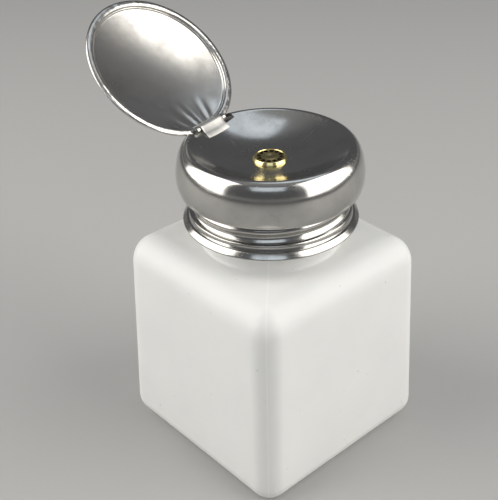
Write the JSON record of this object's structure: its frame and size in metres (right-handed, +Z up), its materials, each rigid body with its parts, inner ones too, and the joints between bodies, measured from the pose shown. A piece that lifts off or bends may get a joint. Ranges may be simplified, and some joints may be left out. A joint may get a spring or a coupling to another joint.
{
  "type": "pump dispenser bottle",
  "caption": "Square plastic bottle with a threaded steel collar and a dished pump head that is pressed to wet a pad, closed by a round lid hinged at the head's crest.",
  "frame": {"origin": "centre of the bottle's flat base, on the surface it stands on", "axes": "+Z up along the pump's axis; X and Y square to the bottle's sides; the lid's hinge lies toward +Y, turned 10 degrees toward -X"},
  "size_m": [0.0594, 0.081, 0.1134],
  "materials": {
    "white_plastic": "smooth moulded, soft sheen",
    "clear_plastic": "milky tube",
    "dark_rubber": "matt",
    "fibre": "pressed fibre, dull",
    "steel": "polished, lightly worn",
    "ball_steel": "ground and polished",
    "brass": "turned, lightly polished"
  },
  "bodies": {
    "bottle": {"bottle": "white_plastic"},
    "sealing_ring": {"mouth_gasket": "dark_rubber"},
    "pump": {"collar": "steel", "barrel": "brass", "barrel_washer": "fibre", "barrel_nut": "brass", "gland_nut": "brass", "gland_seal": "dark_rubber", "foot_valve": "brass", "dip_tube": "clear_plastic", "return_spring": "steel"},
    "inlet_valve": {"inlet_ball": "ball_steel"},
    "head": {"head_shell": "steel", "nozzle": "brass", "stem": "brass", "stem_nut": "brass", "dish_washer": "steel", "piston": "brass", "piston_seal": "dark_rubber", "hinge_strap": "steel"},
    "outlet_valve": {"outlet_ball": "ball_steel"},
    "lid": {"lid": "steel", "hinge_pin": "steel"}
  },
  "joints": [
    {"name": "unscrew_lift", "type": "slide", "parent": "bottle", "child": "sealing_ring", "axis": [0, 0, 1], "range_m": [0, 0.0041]},
    {"name": "unscrew_turn", "type": "hinge", "parent": "sealing_ring", "child": "pump", "pos_m": [0, 0, 0.0744], "axis": [0, 0, 1], "range_deg": [0, 450]},
    {"name": "head_press", "type": "slide", "parent": "pump", "child": "head", "axis": [0, 0, 1], "range_m": [-0.005, 0], "stiffness_N_per_m": 300, "springref_m": 0.01, "deforming": ["return_spring"]},
    {"name": "lid_hinge", "type": "hinge", "parent": "head", "child": "lid", "pos_m": [-0.00346, 0.0196, 0.0871], "axis": [0.9848, 0.1736, 0], "range_deg": [0, 138.8]},
    {"name": "inlet_ball_lift", "type": "slide", "parent": "pump", "child": "inlet_valve", "axis": [0, 0, 1], "range_m": [0, 0.001]},
    {"name": "outlet_ball_lift", "type": "slide", "parent": "head", "child": "outlet_valve", "axis": [0, 0, 1], "range_m": [0, 0.001]}
  ],
  "couplings": [
    {"joint": "unscrew_lift", "follows": "unscrew_turn", "m_per_rad": 0.0005093}
  ]
}
